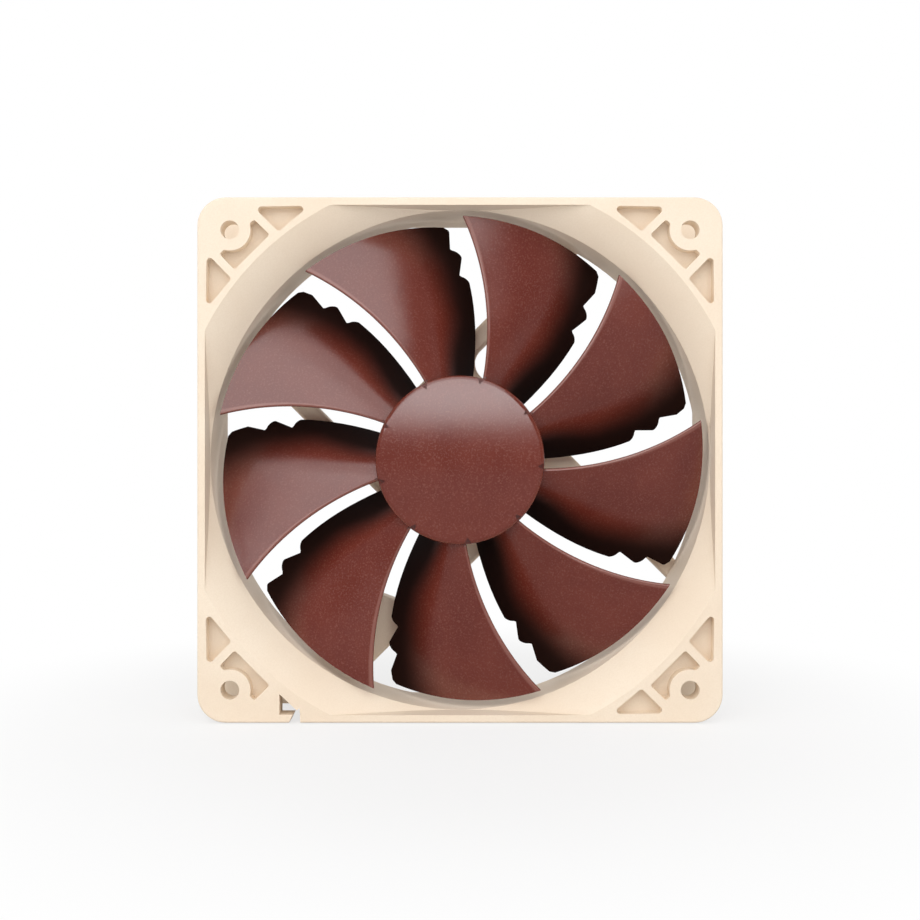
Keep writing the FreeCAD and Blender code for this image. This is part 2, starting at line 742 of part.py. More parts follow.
def circuit_board():
    board = tube(BOARD_R, BOARD_HOLE_R, BOARD_FRONT_DEPTH, BOARD_REAR_DEPTH)
    holes = [rod(PIN_R + FIT, 0, DEPTH, place) for place in pin_places()]
    return board.cut(holes)


def on_board(width, height, thickness, radius, angle):
    """Component soldered to the rear face of the board."""
    front = BOARD_REAR_DEPTH + FIT
    return block(width, height, front, front + thickness, polar(radius, angle), angle)


def hall_sensor():
    """Stands on the board's front face, just behind the magnet's edge."""
    front = MAGNET_REAR_DEPTH + HALL_GAP
    place = polar(HALL_R, HALL_ANGLE)
    return block(HALL_WIDTH, HALL_HEIGHT, front, BOARD_FRONT_DEPTH - FIT, place, HALL_ANGLE)


def chip_leg(row, column):
    """One leg of the driver chip, row and column counted from the chip's middle."""
    front = BOARD_REAR_DEPTH + FIT
    leg = block(LEG_WIDTH, LEG_LENGTH, front, front + LEG_T, (column * LEG_PITCH, row * LEG_OFFSET))
    radius, angle = CHIP[3:]
    place = polar(radius, angle)
    leg = turned(leg, angle)
    leg.translate(Vector(place[0], 0, place[1]))
    return leg


def driver_chip():
    legs = []
    for row in range(LEG_ROWS):
        for column in range(LEGS_PER_ROW):
            legs.append(chip_leg(2 * row - 1, column - (LEGS_PER_ROW - 1) / 2))
    return on_board(*CHIP).fuse(legs)


def resistors():
    return Part.makeCompound([on_board(*RESISTOR, angle) for angle in RESISTOR_ANGLES])


def parts():
    """Every piece of the fan, under its node's name."""
    pieces = {
        "frame": housing(),
        "bearing_tube": bearing_tube(),
        "sleeve_bearing": sleeve_bearing(),
        "oil_seal": oil_seal(),
        "thrust_pad": thrust_pad(),
        "thrust_magnet": thrust_magnet(),
        "bearing_cap": bearing_cap(),
        "rear_label": rear_label(),
        "stator_core": stator_core(),
        "front_insulator": front_insulator(),
        "rear_insulator": rear_insulator(),
        "winding_pins": winding_pins(),
        "circuit_board": circuit_board(),
        "hall_sensor": hall_sensor(),
        "driver_chip": driver_chip(),
        "capacitor": on_board(*CAPACITOR),
        "diode": on_board(*DIODE),
        "resistors": resistors(),
        "impeller": impeller(),
        "rotor_yoke": rotor_yoke(),
        "ring_magnet": ring_magnet(),
        "shaft_boss": shaft_boss(),
        "shaft": shaft(),
        "retaining_ring": retaining_ring(),
    }
    for index in range(POLES):
        pieces["coil_" + str(index + 1)] = coil(index)
    return pieces


os.makedirs("parts", exist_ok=True)
for name, shape in parts().items():
    shape.exportStep(os.path.join("parts", name + ".step"))
    box = shape.BoundBox
    print(f"{name}: {len(shape.Solids)} solid(s), valid {shape.isValid()}, {shape.Volume:.0f} mm3, "
          f"{box.XLength:.1f} x {box.YLength:.1f} x {box.ZLength:.1f}")
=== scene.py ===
# %% [markdown]
# # A square case fan
#
# This lesson dresses a finished mechanical model: a beige moulded frame, a red-brown impeller
# and the small motor between them. The shapes come from the CAD model and stay where they are.
# What is made here is the studio, the finish of every material, and the few pieces that are
# easier to wind, stack or solder by hand than to draw: the coils, the laminations of the stator
# and the solder joints on the board.

# %% Load the fixed frame
import bpy
import math
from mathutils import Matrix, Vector


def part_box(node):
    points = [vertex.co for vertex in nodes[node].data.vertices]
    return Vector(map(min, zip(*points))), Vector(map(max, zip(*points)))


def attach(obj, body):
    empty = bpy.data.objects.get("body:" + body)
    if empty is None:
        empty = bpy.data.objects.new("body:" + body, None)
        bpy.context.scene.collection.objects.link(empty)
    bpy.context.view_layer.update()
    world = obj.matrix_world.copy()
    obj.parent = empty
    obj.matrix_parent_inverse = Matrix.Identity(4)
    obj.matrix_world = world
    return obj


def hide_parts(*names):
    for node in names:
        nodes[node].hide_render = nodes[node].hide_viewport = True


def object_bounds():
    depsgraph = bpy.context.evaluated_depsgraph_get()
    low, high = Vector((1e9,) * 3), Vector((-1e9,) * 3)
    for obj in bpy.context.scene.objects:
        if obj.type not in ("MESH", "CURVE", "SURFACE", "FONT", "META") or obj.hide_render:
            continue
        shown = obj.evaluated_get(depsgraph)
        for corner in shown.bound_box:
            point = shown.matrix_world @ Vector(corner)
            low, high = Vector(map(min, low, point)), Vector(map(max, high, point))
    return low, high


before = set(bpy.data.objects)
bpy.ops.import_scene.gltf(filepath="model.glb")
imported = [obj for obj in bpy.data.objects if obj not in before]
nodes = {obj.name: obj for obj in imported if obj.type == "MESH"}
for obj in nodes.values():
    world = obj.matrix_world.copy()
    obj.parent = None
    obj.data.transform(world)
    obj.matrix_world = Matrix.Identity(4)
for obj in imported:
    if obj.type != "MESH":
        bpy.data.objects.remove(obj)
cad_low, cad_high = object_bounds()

MM = 0.001
FIT = 0.02 * MM
front_y = cad_low[1]
rear_y = cad_high[1]
floor_z = cad_low[2]
print("fan:", [round((high - low) / MM, 1) for low, high in zip(cad_low, cad_high)], "mm")


def middle(name):
    """Centre of a CAD node's box, in metres."""
    low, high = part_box(name)
    return [(low[axis] + high[axis]) / 2 for axis in range(3)]


# %% [markdown]
# ## The camera
#
# The fan is looked at straight down its axis, from close by, so that its rear edges look
# clearly smaller than its front ones. A close camera and a fairly long lens together give
# that view.

# %% Camera on the fan's axis
CAMERA_DISTANCE = 252 * MM
VIEW_WIDTH = 209.8 * MM
SENSOR_WIDTH = 36.0

camera_data = bpy.data.cameras.new("camera")
camera = bpy.data.objects.new("camera", camera_data)
bpy.context.collection.objects.link(camera)
camera_data.sensor_width = SENSOR_WIDTH
camera_data.lens = SENSOR_WIDTH * CAMERA_DISTANCE / VIEW_WIDTH
camera.location = (0, front_y - CAMERA_DISTANCE, 0)
camera.rotation_euler = (math.radians(90), 0, 0)
bpy.context.scene.camera = camera
bpy.context.scene.view_settings.view_transform = "Standard"
print("lens:", round(camera_data.lens, 1), "mm")

# %% [markdown]
# ## Shader maths as sums
#
# A material is a graph of nodes, but a reader thinks in sums. The class below wraps one output
# socket, so that `grain * 0.4 + clouds` adds the Math nodes by itself. A second class holds
# one finish while it is being built, and has one method that adds any other node.

# %% A socket that can be added and multiplied
class Signal:
    """One number that varies over a surface."""

    def __init__(self, finish, socket):
        self.finish = finish
        self.socket = socket

    def __add__(self, other):
        return self.finish.maths("ADD", self, other)

    def __radd__(self, other):
        return self.finish.maths("ADD", other, self)

    def __sub__(self, other):
        return self.finish.maths("SUBTRACT", self, other)

    def __rsub__(self, other):
        return self.finish.maths("SUBTRACT", other, self)

    def __mul__(self, other):
        return self.finish.maths("MULTIPLY", self, other)

    def __rmul__(self, other):
        return self.finish.maths("MULTIPLY", other, self)

    def __truediv__(self, other):
        return self.finish.maths("DIVIDE", self, other)

    def __mod__(self, other):
        return self.finish.maths("FLOORED_MODULO", self, other)

    def __pow__(self, other):
        return self.finish.maths("POWER", self, other)

    def __abs__(self):
        return self.finish.maths("ABSOLUTE", self)


# %% One finish while it is being built
class Finish:
    """A material. Its coordinates are the object's own, in millimetres."""

    def __init__(self, name):
        self.material = bpy.data.materials.new(name)
        self.material.use_nodes = True
        self.tree = self.material.node_tree
        self.tree.nodes.clear()
        place = self.node("ShaderNodeTexCoord").outputs["Object"]
        scale = (1 / MM, 1 / MM, 1 / MM)
        self.place = self.node("ShaderNodeMapping", {}, {"Vector": place, "Scale": scale}).outputs[0]
        self.x, self.y, self.z = self.parts(self.place)

    def node(self, kind, settings=None, inputs=None):
        """Adds one node: its settings first, then the values or links of its sockets."""
        made = self.tree.nodes.new(kind)
        for name, value in (settings or {}).items():
            setattr(made, name, value)
        for name, value in (inputs or {}).items():
            self.feed(made.inputs[name], value)
        return made

    def feed(self, socket, value):
        if isinstance(value, Signal):
            value = value.socket
        if isinstance(value, bpy.types.NodeSocket):
            self.tree.links.new(value, socket)
        else:
            socket.default_value = value

    def maths(self, operation, *values):
        made = self.node("ShaderNodeMath", {"operation": operation}, dict(enumerate(values)))
        return Signal(self, made.outputs[0])

    def parts(self, vector):
        """The three numbers of a vector."""
        split = self.node("ShaderNodeSeparateXYZ", {}, {0: vector})
        return [Signal(self, split.outputs[axis]) for axis in "XYZ"]

    def stretched(self, x, y, z):
        """The place, scaled along each axis, so that a pattern grows longer one way."""
        made = self.node("ShaderNodeMapping", {}, {"Vector": self.place, "Scale": (x, y, z)})
        return made.outputs[0]

    def noise(self, size, detail=3.0, roughness=0.55, place=None):
        """Cloudy noise whose lumps are about size millimetres across."""
        inputs = {"Vector": place or self.place, "Scale": 1 / size, "Detail": detail,
                  "Roughness": roughness}
        return Signal(self, self.node("ShaderNodeTexNoise", {}, inputs).outputs["Fac"])

    def cells(self, size, output="Distance", feature="F1"):
        """Scattered points: the distance to the nearest one, for grains, pits and flakes."""
        inputs = {"Vector": self.place, "Scale": 1 / size}
        made = self.node("ShaderNodeTexVoronoi", {"feature": feature}, inputs)
        return Signal(self, made.outputs[output])

    def radius(self):
        """Distance from the fan's axis."""
        return (self.x * self.x + self.z * self.z) ** 0.5

    def turn(self):
        """Angle round the fan's axis in degrees, counter-clockwise from +X seen from the front."""
        return self.maths("ARCTAN2", self.z, self.x) * math.degrees(1)

    def rings(self, size, detail=2.0):
        """Noise that runs round the axis, as a lathe leaves it."""
        place = self.node("ShaderNodeCombineXYZ", {}, {"X": self.radius(), "Y": self.y})
        return self.noise(size, detail, 0.6, place.outputs[0])

    def step(self, signal, low, high):
        """0 below low, 1 above high, smooth between."""
        made = self.node("ShaderNodeMapRange", {"interpolation_type": "SMOOTHSTEP"},
                         {"Value": signal, "From Min": low, "From Max": high})
        return Signal(self, made.outputs[0])

    def line(self, signal, place, width):
        """1 where the signal passes one value, falling to 0 at width to each side."""
        return 1 - self.step(abs(signal - place), width * 0.3, width)

    def blend(self, factor, first, second):
        """Colour between two colours, each given as red, green, blue or as a socket."""
        colours = []
        for colour in (first, second):
            colours.append(colour if isinstance(colour, bpy.types.NodeSocket) else (*colour, 1))
        made = self.node("ShaderNodeMix", {"data_type": "RGBA"},
                         {"Factor": factor, 6: colours[0], 7: colours[1]})
        return made.outputs[2]

    def bump(self, height, distance, strength=1.0, under=None):
        """Normal of a relief whose full height is distance millimetres."""
        inputs = {"Height": height, "Distance": distance * MM, "Strength": strength}
        if under is not None:
            inputs["Normal"] = under
        return self.node("ShaderNodeBump", {}, inputs).outputs[0]

    def shader(self, **inputs):
        """A principled shader. Names are its sockets with underscores for spaces."""
        named = {name.replace("_", " "): value for name, value in inputs.items()}
        return self.node("ShaderNodeBsdfPrincipled", {}, named).outputs[0]

    def mixed(self, factor, first, second):
        """The first shader where the factor is 0, the second where it is 1."""
        return self.node("ShaderNodeMixShader", {}, {"Fac": factor, 1: first, 2: second}).outputs[0]

    def finished(self, shader):
        """Joins a shader to the output."""
        self.node("ShaderNodeOutputMaterial", {}, {"Surface": shader})
        return self.material

    def surface(self, **inputs):
        """One principled shader as the whole finish."""
        return self.finished(self.shader(**inputs))


def dress(node_names, material):
    """Gives CAD nodes one material."""
    for name in node_names:
        piece = nodes[name]
        piece.data.materials.clear()
        piece.data.materials.append(material)
    print(material.name, "on", ", ".join(node_names))


# %% [markdown]
# ## The beige frame
#
# The frame is injection moulded in a light beige plastic. The mould's steel was eroded, which
# leaves a fine pebbled skin that scatters light softly. Broad clouds of slightly warmer and
# cooler beige keep the large faces from looking like paper. Each flange carries the faint
# raised line where the two halves of the mould met, half way across its outer edge.

# %% Beige moulded plastic
FLANGE_MIDDLE = 2.25
EDGE_BAND = 59.3
EDGE_BLUR = 0.3
SEAM_HALF = 0.12
half_depth = (rear_y - front_y) / 2 / MM


def moulded_beige():
    beige = Finish("moulded_beige")
    clouds = beige.noise(28.0, 4.0)
    grain = beige.noise(0.35, 2.0, 0.5)
    pebbles = beige.cells(0.6)
    warm = beige.blend(beige.step(clouds, 0.35, 0.68), (0.83, 0.69, 0.54), (0.86, 0.735, 0.59))
    tint = beige.blend(beige.step(grain, 0.3, 0.75) * 0.3, warm, (0.76, 0.62, 0.47))
    outwards = beige.maths("MAXIMUM", abs(beige.x), abs(beige.z))
    outer = beige.step(outwards, EDGE_BAND, EDGE_BAND + EDGE_BLUR)
    seam = outer * beige.line(abs(beige.y), half_depth - FLANGE_MIDDLE, SEAM_HALF)
    tint = beige.blend(seam * 0.35, tint, (0.70, 0.56, 0.42))
    skin = beige.bump(grain * 0.6 + pebbles * 0.4, 0.02, 0.5)
    return beige.surface(Base_Color=tint, Roughness=0.44 + grain * 0.12 + clouds * 0.06, IOR=1.5,
                         Specular_IOR_Level=0.4, Normal=beige.bump(seam, 0.06, 0.8, skin))


dress(["frame"], moulded_beige())

# %% [markdown]
# ## The red-brown impeller
#
# The impeller's plastic is filled with glass fibre, and dyed a dark red-brown. The skin is
# satin: fine grains give a broad soft shine with a faint sparkle in it, and the light specks in
# its colour are partly the grain's own tone and partly painted sparkle. The hub is smoother than
# the blades, so the light on it has a clearer border. Towards the trailing edge, and more near
# the hub, the front of each blade is painted nearly black and matt as painted shade, and a thin
# lighter line along the leading edge is a painted highlight.
#
# A point's place on its blade is worked out from the same two curves that shape the blades:
# the angle of the leading edge and of the trailing edge at every distance from the axis. The
# fraction of the way between them runs from 0 to 1 on all nine blades at once.

# %% Place on a blade
BLADES = 9
BLADE_STEP = 360 / BLADES
HUB_R = 19.5
TIP_R = 56.5
FIRST_TIP_ANGLE = 8.75
ROOT_LEAD = -15.4
LEAD_BOW = 0.14
ROOT_TRAIL = -46.95
TRAIL_SWING = 3.25
TRAIL_HOOK = 8.5
AHEAD = 2


def along_blade(finish, radius):
    """Degrees behind the leading edge, and the blade's whole width in degrees.

    The round nose reaches a little ahead of the leading edge, so the count starts there."""
    span = (radius - HUB_R) / (TIP_R - HUB_R)
    lead = ROOT_LEAD * (1 - (1 - LEAD_BOW) * span - LEAD_BOW * span * span)
    trail = ROOT_TRAIL + TRAIL_SWING * span + TRAIL_HOOK * span * span
    behind = (lead - (finish.turn() - FIRST_TIP_ANGLE) + AHEAD) % BLADE_STEP - AHEAD
    return behind, lead - trail


# %% Red-brown satin plastic
HUB_BLEND = 0.5
# Half width in degrees of the painted highlight along the leading edge.
LEAD_HIGHLIGHT_HALF = 0.9
# These place the painted shade: part way across each blade, and earlier near the hub.
ROOT_REACH = 16
ROOT_PAINTED_SHADE = 0.20
PAINTED_SHADE_STARTS = 0.56
PAINTED_SHADE_FULL = 0.92


def satin_brown():
    brown = Finish("satin_brown")
    radius = brown.radius()
    clouds = brown.noise(11.0, 5.0)
    grain = brown.noise(0.42, 3.0, 0.65)
    fibres = brown.cells(0.5)
    deep = brown.blend(brown.step(clouds, 0.3, 0.7), (0.126, 0.0170, 0.0085), (0.146, 0.023, 0.012))
    # Light specks of the grain: partly the grain's own tone, partly painted sparkle of the shine.
    tint = brown.blend(brown.step(grain, 0.48, 0.72) * 0.40, deep, (0.25, 0.080, 0.056))
    behind, width = along_blade(brown, radius)
    on_blade = brown.step(radius, HUB_R, HUB_R + HUB_BLEND)
    # A thin lighter line along the leading edge: a painted highlight.
    edge = brown.line(behind, 0.0, LEAD_HIGHLIGHT_HALF) * on_blade
    tint = brown.blend(edge * 0.45, tint, (0.34, 0.15, 0.12))
    relief = (grain * 0.7 + fibres * 0.3) * (0.2 + on_blade * 0.8)
    normal = brown.bump(relief, 0.026, 0.7)
    roughness = 0.09 + on_blade * 0.08 + grain * 0.10 + clouds * 0.03
    satin = brown.shader(Base_Color=tint, Roughness=roughness, IOR=1.5, Specular_IOR_Level=0.90,
                         Normal=normal)
    # The painted shade itself: a nearly black, matt shader in place of the shine.
    black = brown.blend(clouds, (0.012, 0.0035, 0.0025), (0.020, 0.006, 0.004))
    painted_shade_shader = brown.shader(Base_Color=black, Roughness=0.62 + grain * 0.1, Specular_IOR_Level=0.08,
                         Normal=normal)
    rearwards = brown.parts(brown.node("ShaderNodeTexCoord").outputs["Normal"])[1]
    # Where the painted shade falls: late on each blade, earlier near the hub, only on front faces.
    root_painted_shade = 1 - brown.step(radius, HUB_R, HUB_R + ROOT_REACH)
    place = behind / width + root_painted_shade * ROOT_PAINTED_SHADE + (clouds - 0.5) * 0.1
    painted_shade = brown.step(place, PAINTED_SHADE_STARTS, PAINTED_SHADE_FULL) * on_blade * brown.step(0 - rearwards, 0.0, 0.15)
    return brown.finished(brown.mixed(painted_shade, satin, painted_shade_shader))


dress(["impeller"], satin_brown())

# %% [markdown]
# ## Turned and ground metals
#
# The bearing tube and the boss are turned from brass bar, and the shaft is ground steel. Both
# tools go round the axis and leave fine rings, so the pattern is noise over the distance from
# the axis and the depth, with nothing that changes round the circle.

# %% Brass and polished steel
def turned_brass():
    brass = Finish("turned_brass")
    lathe = brass.rings(0.12)
    stain = brass.noise(2.5, 4.0)
    tint = brass.blend(stain, (0.78, 0.55, 0.24), (0.64, 0.42, 0.17))
    tint = brass.blend(brass.step(lathe, 0.4, 0.7) * 0.3, tint, (0.90, 0.70, 0.38))
    return brass.surface(Base_Color=tint, Metallic=1.0, Roughness=0.22 + lathe * 0.2 + stain * 0.08,
                         Normal=brass.bump(lathe, 0.01, 0.6))


def ground_steel():
    steel = Finish("ground_steel")
    grind = steel.rings(0.05)
    haze = steel.noise(1.6, 3.0)
    tint = steel.blend(haze, (0.66, 0.67, 0.69), (0.54, 0.55, 0.58))
    return steel.surface(Base_Color=tint, Metallic=1.0, Roughness=0.10 + grind * 0.12 + haze * 0.05,
                         Normal=steel.bump(grind, 0.004, 0.4))


dress(["bearing_tube", "shaft_boss"], turned_brass())
dress(["shaft"], ground_steel())

# %% [markdown]
# ## Sintered bronze
#
# The sleeve bearing is pressed from bronze powder and soaked with oil. Its surface is full of
# small pores that look dark and wet. The pores are the cores of scattered cells: they darken
# the colour, stop the metal and press the relief in.

# %% Porous bronze
def porous_bronze():
    bronze = Finish("porous_bronze")
    pores = 1 - bronze.step(bronze.cells(0.16), 0.12, 0.34)
    oil = bronze.noise(1.2, 3.0)
    tint = bronze.blend(oil, (0.50, 0.29, 0.13), (0.36, 0.20, 0.09))
    tint = bronze.blend(pores, tint, (0.06, 0.035, 0.02))
    return bronze.surface(Base_Color=tint, Metallic=1 - pores * 0.7, Roughness=0.30 + oil * 0.2,
                          Normal=bronze.bump(1 - pores, 0.02, 0.8))


dress(["sleeve_bearing"], porous_bronze())

# %% [markdown]
# ## Small mouldings
#
# The insulators, the oil seal, the pad under the shaft and the clip are unfilled nylon: milky,
# a little yellow where it is thick, and smooth. The cap behind the bearing is black plastic.

# %% Nylon and black plastic
def milky_nylon():
    nylon = Finish("milky_nylon")
    milk = nylon.noise(3.5, 3.0)
    specks = nylon.step(nylon.noise(0.3, 2.0), 0.62, 0.8)
    tint = nylon.blend(milk, (0.83, 0.81, 0.73), (0.77, 0.73, 0.62))
    tint = nylon.blend(specks * 0.25, tint, (0.62, 0.58, 0.48))
    return nylon.surface(Base_Color=tint, Roughness=0.33 + milk * 0.15, IOR=1.53,
                         Normal=nylon.bump(nylon.noise(0.5, 2.0), 0.012, 0.5))


def black_cap_plastic():
    black = Finish("black_cap_plastic")
    grain = black.noise(0.22, 2.0)
    dust = black.step(black.noise(1.8, 5.0), 0.55, 0.8)
    tint = black.blend(dust * 0.5, (0.018, 0.018, 0.020), (0.055, 0.052, 0.048))
    return black.surface(Base_Color=tint, Roughness=0.42 + grain * 0.2,
                         Normal=black.bump(grain, 0.015, 0.6))


dress(["oil_seal", "thrust_pad", "front_insulator", "rear_insulator", "retaining_ring"], milky_nylon())
dress(["bearing_cap"], black_cap_plastic())

# %% [markdown]
# ## Magnets
#
# The ring magnet and the thrust magnet are ferrite: a dark ceramic, ground on its faces, with
# fine crystals that glint and small chips along the edges. The chips are a coarse noise that
# only counts where it is highest.

# %% Dark ferrite
def dark_ferrite():
    ferrite = Finish("dark_ferrite")
    crystals = ferrite.cells(0.14)
    chips = ferrite.step(ferrite.noise(0.9, 4.0, 0.7), 0.66, 0.74)
    tint = ferrite.blend(ferrite.step(crystals, 0.2, 0.7), (0.060, 0.058, 0.060), (0.105, 0.102, 0.104))
    tint = ferrite.blend(chips, tint, (0.035, 0.034, 0.036))
    relief = crystals * 0.3 + (1 - chips) * 0.7
    return ferrite.surface(Base_Color=tint, Metallic=0.25, Roughness=0.40 + chips * 0.3 + crystals * 0.1,
                           Normal=ferrite.bump(relief, 0.03, 0.6))


dress(["ring_magnet", "thrust_magnet"], dark_ferrite())

# %% [markdown]
# ## The rear label
#
# A blank foil disc closes the recess in the motor base. The foil was rolled, which leaves
# straight streaks one way. It carries no print but a plain brown ring near its edge, and it
# has soft dents where the pieces under it bear against it.

# %% Rolled foil with a plain ring
LABEL_RING_R = 16.6
LABEL_RING_HALF = 0.35


def rolled_foil():
    foil = Finish("rolled_foil")
    streaks = foil.noise(0.12, 3.0, 0.6, foil.stretched(0.04, 1.0, 1.0))
    dents = foil.noise(5.0, 2.0)
    ring = foil.line(foil.radius(), LABEL_RING_R, LABEL_RING_HALF)
    silver = foil.blend(streaks, (0.74, 0.74, 0.75), (0.60, 0.60, 0.62))
    tint = foil.blend(ring, silver, (0.20, 0.06, 0.04))
    normal = foil.bump(streaks, 0.004, 0.5, foil.bump(dents, 0.15, 0.5))
    return foil.surface(Base_Color=tint, Metallic=0.9 - ring * 0.8, Roughness=0.26 + streaks * 0.18,
                        Normal=normal)


dress(["rear_label"], rolled_foil())

# %% [markdown]
# ## Sheet steel
#
# The yoke behind the magnet is zinc plated: the zinc froze in flakes of slightly different
# grey, with a bluish tinge. The stator is stamped from thin silicon steel with a dull blue-grey
# oxide, and its cut edges show bare metal.

# %% Zinc plating and silicon steel
def zinc_flakes():
    zinc = Finish("zinc_flakes")
    flakes = zinc.cells(2.6, "Color")
    fine = zinc.noise(0.4, 3.0)
    tint = zinc.blend(flakes, (0.50, 0.52, 0.55), (0.66, 0.68, 0.70))
    tint = zinc.blend(zinc.step(fine, 0.5, 0.8) * 0.3, tint, (0.42, 0.43, 0.44))
    return zinc.surface(Base_Color=tint, Metallic=1.0, Roughness=0.26 + flakes * 0.16 + fine * 0.1,
                        Normal=zinc.bump(fine, 0.01, 0.5))


def silicon_steel():
    steel = Finish("silicon_steel")
    oxide = steel.noise(2.2, 4.0)
    burrs = steel.noise(0.2, 2.0, 0.5, steel.stretched(1.0, 0.2, 1.0))
    tint = steel.blend(oxide, (0.20, 0.215, 0.25), (0.31, 0.32, 0.35))
    tint = steel.blend(steel.step(burrs, 0.5, 0.75) * 0.5, tint, (0.50, 0.50, 0.50))
    return steel.surface(Base_Color=tint, Metallic=0.85, Roughness=0.38 + oxide * 0.2,
                         Normal=steel.bump(burrs, 0.01, 0.6))


dress(["rotor_yoke"], zinc_flakes())
core_finish = silicon_steel()
dress(["stator_core"], core_finish)

# %% [markdown]
# ## The board and what is on it
#
# The board is glass-fibre laminate under a green lacquer. Copper runs under the lacquer and
# shows as slightly lighter, slightly raised green. The runs are the borders between large
# cells, and the weave is two crossed waves. Chips are black epoxy with a fine matt grain and
# one round dimple for the first leg. What sticks out at the driver chip's sides is its tinned
# legs. The capacitor is a tan ceramic block with tinned ends.

# %% Circuit board, chips, ceramic and tinned metal
WEAVE = 0.5
BOARD_R = 18.0


def green_lacquer():
    green = Finish("green_lacquer")
    copper = green.step(green.cells(3.4, "Distance", "DISTANCE_TO_EDGE"), 0.05, 0.11)
    waves = [green.maths("SINE", along * (math.tau / WEAVE)) for along in (green.x, green.z)]
    weave = waves[0] * waves[1]
    cloud = green.noise(4.0, 3.0)
    tint = green.blend(cloud, (0.012, 0.085, 0.035), (0.018, 0.115, 0.048))
    tint = green.blend(copper, (0.035, 0.19, 0.075), tint)
    rim = green.step(green.radius(), BOARD_R, BOARD_R + 0.15)
    tint = green.blend(rim, tint, (0.42, 0.36, 0.20))
    relief = (1 - copper) * 0.8 + weave * 0.1
    return green.surface(Base_Color=tint, Roughness=0.24 + cloud * 0.12 + rim * 0.4, Coat_Weight=0.3,
                         Normal=green.bump(relief, 0.035, 0.7))


CHIP_DIMPLE_R = 0.35
CHIP_DIMPLE_SHIFT = 1.4
CHIP_HALF = 2.0
CHIP_REACH = 4.2


def epoxy_black():
    epoxy = Finish("epoxy_black")
    grain = epoxy.noise(0.09, 2.0)
    haze = epoxy.noise(1.4, 3.0)
    centre = [value / MM for value in middle("driver_chip")]
    right, up = epoxy.x - centre[0], epoxy.z - centre[2]
    near = ((right + CHIP_DIMPLE_SHIFT) ** 2 + up ** 2) ** 0.5
    dimple = 1 - epoxy.step(near, CHIP_DIMPLE_R - 0.06, CHIP_DIMPLE_R)
    turn = math.atan2(centre[2], centre[0])
    across = abs(up * math.cos(turn) - right * math.sin(turn))
    around = 1 - epoxy.step((right * right + up * up) ** 0.5, CHIP_REACH, CHIP_REACH + 0.1)
    legs = epoxy.step(across, CHIP_HALF, CHIP_HALF + 0.03) * around
    tint = epoxy.blend(haze, (0.022, 0.022, 0.024), (0.040, 0.039, 0.040))
    tint = epoxy.blend(legs, tint, (0.60, 0.60, 0.59))
    return epoxy.surface(Base_Color=tint, Metallic=legs * 0.9, Roughness=0.5 + grain * 0.2 - legs * 0.25,
                         Normal=epoxy.bump(1 - dimple, 0.08, 1.0, epoxy.bump(grain, 0.01, 0.6)))


CAPACITOR_END = 1.15


def tan_ceramic():
    tan = Finish("tan_ceramic")
    centre = [value / MM for value in middle("capacitor")]
    turn = math.atan2(centre[2], centre[0]) + math.pi / 2
    length = abs((tan.x - centre[0]) * math.cos(turn) + (tan.z - centre[2]) * math.sin(turn))
    ends = tan.step(length, CAPACITOR_END - 0.05, CAPACITOR_END + 0.05)
    grain = tan.noise(0.2, 3.0)
    tint = tan.blend(grain, (0.42, 0.27, 0.15), (0.50, 0.34, 0.20))
    tint = tan.blend(ends, tint, (0.60, 0.60, 0.60))
    return tan.surface(Base_Color=tint, Metallic=ends * 0.9, Roughness=0.30 + grain * 0.25,
                       Normal=tan.bump(grain, 0.02, 0.6))


def dull_tin():
    tin = Finish("dull_tin")
    mottle = tin.noise(0.5, 4.0)
    drag = tin.noise(0.1, 2.0, 0.5, tin.stretched(1.0, 0.2, 1.0))
    tint = tin.blend(mottle, (0.64, 0.64, 0.63), (0.48, 0.48, 0.48))
    return tin.surface(Base_Color=tint, Metallic=0.95, Roughness=0.24 + mottle * 0.22,
                       Normal=tin.bump(mottle * 0.6 + drag * 0.4, 0.012, 0.6))


dress(["circuit_board"], green_lacquer())
dress(["hall_sensor", "driver_chip", "diode", "resistors"], epoxy_black())
dress(["capacitor"], tan_ceramic())
tin_finish = dull_tin()
dress(["winding_pins"], tin_finish)

# %% [markdown]
# ## Helpers for modelling by hand
#
# Every new piece starts as a primitive, with nothing else selected. The helpers below do what
# a hand does first: clear the selection, pick the points on one side, and make a finished
# object's place part of its mesh.

# %% Selection and placing
def start_clean():
    """Leaves edit mode and deselects everything."""
    if bpy.context.mode != "OBJECT":
        bpy.ops.object.mode_set(mode="OBJECT")
    bpy.ops.object.select_all(action="DESELECT")


def pick(piece, test):
    """Selects, in edit mode, the points whose place passes a test."""
    bpy.ops.mesh.select_all(action="DESELECT")
    bpy.ops.object.mode_set(mode="OBJECT")
    for vertex in piece.data.vertices:
        vertex.select = test(vertex.co)
    bpy.ops.object.mode_set(mode="EDIT")


def settle(piece, place=(0, 0, 0), turn=(0, 0, 0)):
    """Moves and turns a piece, then makes that part of its mesh."""
    start_clean()
    bpy.context.view_layer.objects.active = piece
    piece.select_set(True)
    piece.rotation_euler = turn
    piece.location = place
    bpy.ops.object.transform_apply(location=True, rotation=True, scale=True)


def join(pieces, name):
    """Joins pieces into one object with one mesh."""
    start_clean()
    for piece in pieces:
        piece.select_set(True)
    bpy.context.view_layer.objects.active = pieces[0]
    bpy.ops.object.join()
    joined = bpy.context.object
    joined.name = name
    return joined


def array(piece, count, offset):
    """Repeats a piece count times along an offset."""
    start_clean()
    bpy.context.view_layer.objects.active = piece
    piece.select_set(True)
    row = piece.modifiers.new("row", "ARRAY")
    row.count = count
    row.use_relative_offset = False
    row.use_constant_offset = True
    row.constant_offset_displace = offset
    bpy.ops.object.modifier_apply(modifier=row.name)


